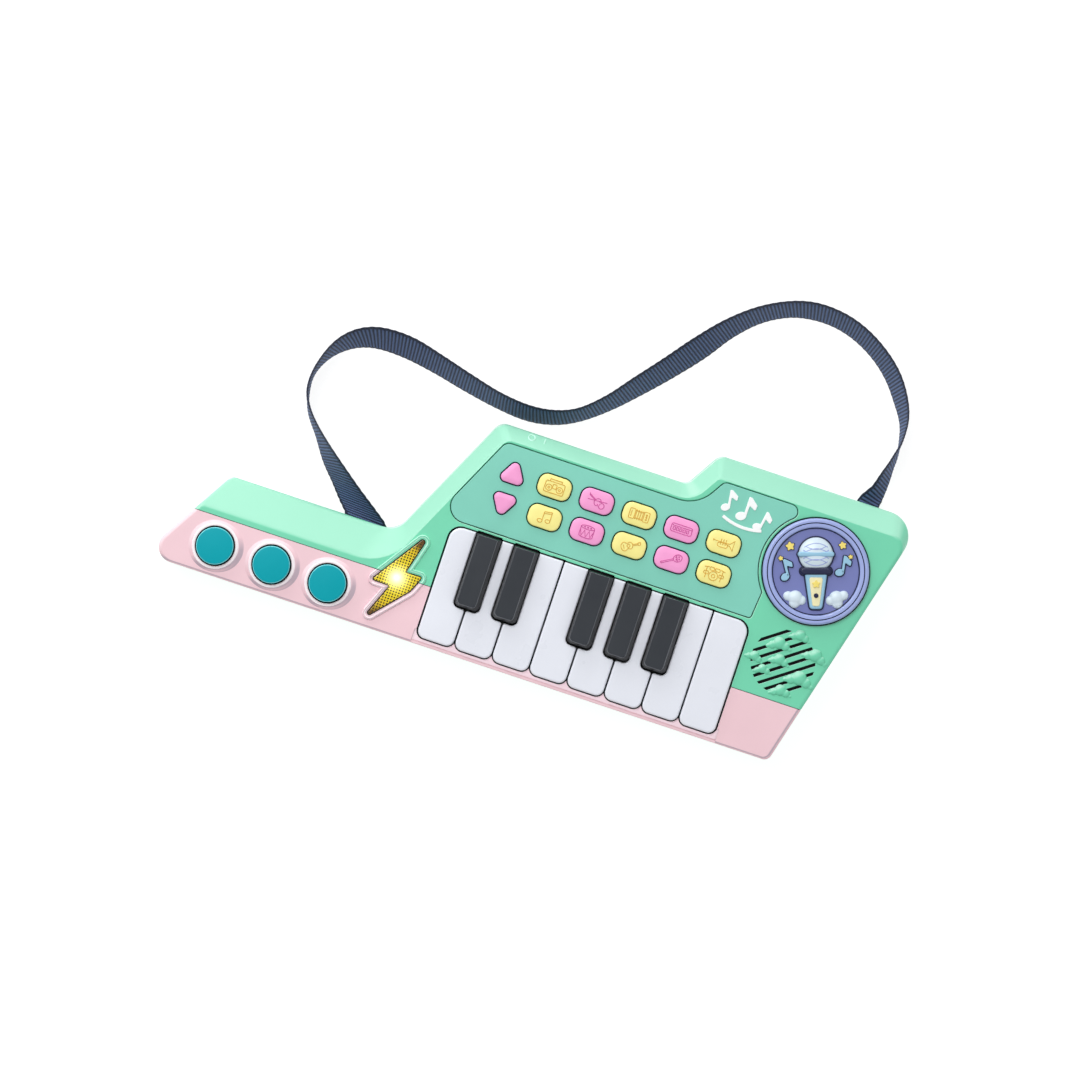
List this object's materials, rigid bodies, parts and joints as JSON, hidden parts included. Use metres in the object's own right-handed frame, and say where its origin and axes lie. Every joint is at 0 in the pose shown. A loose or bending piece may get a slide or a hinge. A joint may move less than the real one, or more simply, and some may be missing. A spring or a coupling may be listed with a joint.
{
  "type": "toy electronic keyboard",
  "caption": "Strap-on toy keytar: stepped body with neck, sprung piano keys, instrument and effect buttons, light-up bolt, round button, speaker grille and webbing strap.",
  "frame": {"origin": "centre of the body's box on the plane that its flat back lies on, strap left out", "axes": "+X along the toy towards the keyboard end, +Y towards its upper edge, +Z out of the playing face"},
  "size_m": [0.3983, 0.2533, 0.044],
  "materials": {
    "mint_plastic": "mint green ABS, satin, fine spark texture",
    "pink_plastic": "pale pink ABS, satin",
    "panel_plastic": "darker sea-green insert, satin",
    "white_plastic": "white ABS, semi-gloss",
    "black_plastic": "black ABS, semi-gloss",
    "yellow_button": "soft yellow moulded button, printed outline",
    "pink_button": "bright pink moulded button, printed outline",
    "neck_button": "turquoise moulded button, semi-gloss",
    "medallion_plastic": "periwinkle moulded button with a lighter rim",
    "amber_lens": "amber translucent lens, lit from inside",
    "lamp_plastic": "clear white lamp body",
    "inner_plastic": "natural moulding, unseen",
    "circuit_board": "green solder mask",
    "silicone": "matt silicone",
    "steel": "plated steel",
    "speaker_steel": "pressed steel basket",
    "speaker_paper": "black paper cone",
    "cell_wrap": "plain sleeved cell",
    "navy_webbing": "navy ribbed polypropylene webbing"
  },
  "bodies": {
    "casing": {"rear_shell": "mint_plastic", "upper_shell": "mint_plastic", "lower_fascia": "pink_plastic", "control_panel": "panel_plastic", "bolt_lens": "amber_lens", "led_lamp": "lamp_plastic", "key_bed": "black_plastic", "key_pivot_rod": "steel", "key_board": "circuit_board", "key_contact_pad": "silicone", "main_board": "circuit_board", "button_contact_pad": "silicone", "neck_board": "circuit_board", "neck_contact_pad": "silicone", "speaker_frame": "speaker_steel", "speaker_cone": "speaker_paper", "battery_tray": "inner_plastic", "battery_contact_left": "steel", "battery_contact_right": "steel", "battery_cell_1": "cell_wrap", "battery_cell_2": "cell_wrap", "battery_cell_3": "cell_wrap", "case_screw_1": "steel", "case_screw_2": "steel", "case_screw_3": "steel", "case_screw_4": "steel", "case_screw_5": "steel", "shoulder_strap": "navy_webbing"},
    "white_key_1": {"white_key_1": "white_plastic"},
    "white_key_2": {"white_key_2": "white_plastic"},
    "white_key_3": {"white_key_3": "white_plastic"},
    "white_key_4": {"white_key_4": "white_plastic"},
    "white_key_5": {"white_key_5": "white_plastic"},
    "white_key_6": {"white_key_6": "white_plastic"},
    "white_key_7": {"white_key_7": "white_plastic"},
    "white_key_8": {"white_key_8": "white_plastic"},
    "black_key_1": {"black_key_1": "black_plastic"},
    "black_key_2": {"black_key_2": "black_plastic"},
    "black_key_3": {"black_key_3": "black_plastic"},
    "black_key_4": {"black_key_4": "black_plastic"},
    "black_key_5": {"black_key_5": "black_plastic"},
    "instrument_button_1": {"instrument_button_1": "yellow_button"},
    "instrument_button_2": {"instrument_button_2": "pink_button"},
    "instrument_button_3": {"instrument_button_3": "yellow_button"},
    "instrument_button_4": {"instrument_button_4": "pink_button"},
    "instrument_button_5": {"instrument_button_5": "yellow_button"},
    "instrument_button_6": {"instrument_button_6": "yellow_button"},
    "instrument_button_7": {"instrument_button_7": "pink_button"},
    "instrument_button_8": {"instrument_button_8": "yellow_button"},
    "instrument_button_9": {"instrument_button_9": "pink_button"},
    "instrument_button_10": {"instrument_button_10": "yellow_button"},
    "volume_up_button": {"volume_up_button": "pink_button"},
    "volume_down_button": {"volume_down_button": "pink_button"},
    "neck_button_1": {"neck_button_1": "neck_button"},
    "neck_button_2": {"neck_button_2": "neck_button"},
    "neck_button_3": {"neck_button_3": "neck_button"},
    "medallion_button": {"medallion_button": "medallion_plastic"},
    "power_switch": {"power_switch": "black_plastic"},
    "battery_door": {"battery_door": "mint_plastic", "battery_door_screw": "steel"}
  },
  "joints": [
    {"name": "white_key_1_press", "type": "hinge", "parent": "casing", "child": "white_key_1", "pos_m": [-0.0353, -0.0015, 0.026], "axis": [1, 0, 0], "range_deg": [0, 3.2], "stiffness_Nm_per_rad": 0.4, "springref_deg": -1.72},
    {"name": "white_key_2_press", "type": "hinge", "parent": "casing", "child": "white_key_2", "pos_m": [-0.0133, -0.0015, 0.026], "axis": [1, 0, 0], "range_deg": [0, 3.2], "stiffness_Nm_per_rad": 0.4, "springref_deg": -1.72},
    {"name": "white_key_3_press", "type": "hinge", "parent": "casing", "child": "white_key_3", "pos_m": [0.0087, -0.0015, 0.026], "axis": [1, 0, 0], "range_deg": [0, 3.2], "stiffness_Nm_per_rad": 0.4, "springref_deg": -1.72},
    {"name": "white_key_4_press", "type": "hinge", "parent": "casing", "child": "white_key_4", "pos_m": [0.0307, -0.0015, 0.026], "axis": [1, 0, 0], "range_deg": [0, 3.2], "stiffness_Nm_per_rad": 0.4, "springref_deg": -1.72},
    {"name": "white_key_5_press", "type": "hinge", "parent": "casing", "child": "white_key_5", "pos_m": [0.0527, -0.0015, 0.026], "axis": [1, 0, 0], "range_deg": [0, 3.2], "stiffness_Nm_per_rad": 0.4, "springref_deg": -1.72},
    {"name": "white_key_6_press", "type": "hinge", "parent": "casing", "child": "white_key_6", "pos_m": [0.0747, -0.0015, 0.026], "axis": [1, 0, 0], "range_deg": [0, 3.2], "stiffness_Nm_per_rad": 0.4, "springref_deg": -1.72},
    {"name": "white_key_7_press", "type": "hinge", "parent": "casing", "child": "white_key_7", "pos_m": [0.0967, -0.0015, 0.026], "axis": [1, 0, 0], "range_deg": [0, 3.2], "stiffness_Nm_per_rad": 0.4, "springref_deg": -1.72},
    {"name": "white_key_8_press", "type": "hinge", "parent": "casing", "child": "white_key_8", "pos_m": [0.1187, -0.0015, 0.026], "axis": [1, 0, 0], "range_deg": [0, 3.2], "stiffness_Nm_per_rad": 0.4, "springref_deg": -1.72},
    {"name": "black_key_1_press", "type": "hinge", "parent": "casing", "child": "black_key_1", "pos_m": [-0.0243, -0.0015, 0.026], "axis": [1, 0, 0], "range_deg": [0, 3.2], "stiffness_Nm_per_rad": 0.4, "springref_deg": -1.72},
    {"name": "black_key_2_press", "type": "hinge", "parent": "casing", "child": "black_key_2", "pos_m": [-0.0023, -0.0015, 0.026], "axis": [1, 0, 0], "range_deg": [0, 3.2], "stiffness_Nm_per_rad": 0.4, "springref_deg": -1.72},
    {"name": "black_key_3_press", "type": "hinge", "parent": "casing", "child": "black_key_3", "pos_m": [0.0417, -0.0015, 0.026], "axis": [1, 0, 0], "range_deg": [0, 3.2], "stiffness_Nm_per_rad": 0.4, "springref_deg": -1.72},
    {"name": "black_key_4_press", "type": "hinge", "parent": "casing", "child": "black_key_4", "pos_m": [0.0637, -0.0015, 0.026], "axis": [1, 0, 0], "range_deg": [0, 3.2], "stiffness_Nm_per_rad": 0.4, "springref_deg": -1.72},
    {"name": "black_key_5_press", "type": "hinge", "parent": "casing", "child": "black_key_5", "pos_m": [0.0857, -0.0015, 0.026], "axis": [1, 0, 0], "range_deg": [0, 3.2], "stiffness_Nm_per_rad": 0.4, "springref_deg": -1.72},
    {"name": "instrument_button_1_press", "type": "slide", "parent": "casing", "child": "instrument_button_1", "axis": [0, 0, -1], "range_m": [0, 0.0015], "stiffness_N_per_m": 500, "springref_m": -0.0006},
    {"name": "instrument_button_2_press", "type": "slide", "parent": "casing", "child": "instrument_button_2", "axis": [0, 0, -1], "range_m": [0, 0.0015], "stiffness_N_per_m": 500, "springref_m": -0.0006},
    {"name": "instrument_button_3_press", "type": "slide", "parent": "casing", "child": "instrument_button_3", "axis": [0, 0, -1], "range_m": [0, 0.0015], "stiffness_N_per_m": 500, "springref_m": -0.0006},
    {"name": "instrument_button_4_press", "type": "slide", "parent": "casing", "child": "instrument_button_4", "axis": [0, 0, -1], "range_m": [0, 0.0015], "stiffness_N_per_m": 500, "springref_m": -0.0006},
    {"name": "instrument_button_5_press", "type": "slide", "parent": "casing", "child": "instrument_button_5", "axis": [0, 0, -1], "range_m": [0, 0.0015], "stiffness_N_per_m": 500, "springref_m": -0.0006},
    {"name": "instrument_button_6_press", "type": "slide", "parent": "casing", "child": "instrument_button_6", "axis": [0, 0, -1], "range_m": [0, 0.0015], "stiffness_N_per_m": 500, "springref_m": -0.0006},
    {"name": "instrument_button_7_press", "type": "slide", "parent": "casing", "child": "instrument_button_7", "axis": [0, 0, -1], "range_m": [0, 0.0015], "stiffness_N_per_m": 500, "springref_m": -0.0006},
    {"name": "instrument_button_8_press", "type": "slide", "parent": "casing", "child": "instrument_button_8", "axis": [0, 0, -1], "range_m": [0, 0.0015], "stiffness_N_per_m": 500, "springref_m": -0.0006},
    {"name": "instrument_button_9_press", "type": "slide", "parent": "casing", "child": "instrument_button_9", "axis": [0, 0, -1], "range_m": [0, 0.0015], "stiffness_N_per_m": 500, "springref_m": -0.0006},
    {"name": "instrument_button_10_press", "type": "slide", "parent": "casing", "child": "instrument_button_10", "axis": [0, 0, -1], "range_m": [0, 0.0015], "stiffness_N_per_m": 500, "springref_m": -0.0006},
    {"name": "volume_up_button_press", "type": "slide", "parent": "casing", "child": "volume_up_button", "axis": [0, 0, -1], "range_m": [0, 0.0015], "stiffness_N_per_m": 500, "springref_m": -0.0006},
    {"name": "volume_down_button_press", "type": "slide", "parent": "casing", "child": "volume_down_button", "axis": [0, 0, -1], "range_m": [0, 0.0015], "stiffness_N_per_m": 500, "springref_m": -0.0006},
    {"name": "neck_button_1_press", "type": "slide", "parent": "casing", "child": "neck_button_1", "axis": [0, 0, -1], "range_m": [0, 0.003], "stiffness_N_per_m": 400, "springref_m": -0.001},
    {"name": "neck_button_2_press", "type": "slide", "parent": "casing", "child": "neck_button_2", "axis": [0, 0, -1], "range_m": [0, 0.003], "stiffness_N_per_m": 400, "springref_m": -0.001},
    {"name": "neck_button_3_press", "type": "slide", "parent": "casing", "child": "neck_button_3", "axis": [0, 0, -1], "range_m": [0, 0.003], "stiffness_N_per_m": 400, "springref_m": -0.001},
    {"name": "medallion_button_press", "type": "slide", "parent": "casing", "child": "medallion_button", "axis": [0, 0, -1], "range_m": [0, 0.002], "stiffness_N_per_m": 700, "springref_m": -0.001},
    {"name": "power_switch_slide", "type": "slide", "parent": "casing", "child": "power_switch", "axis": [1, 0, 0], "range_m": [0, 0.007]},
    {"name": "battery_door_lift_off", "type": "slide", "parent": "casing", "child": "battery_door", "axis": [0, 0, -1], "range_m": [0, 0.015]}
  ]
}
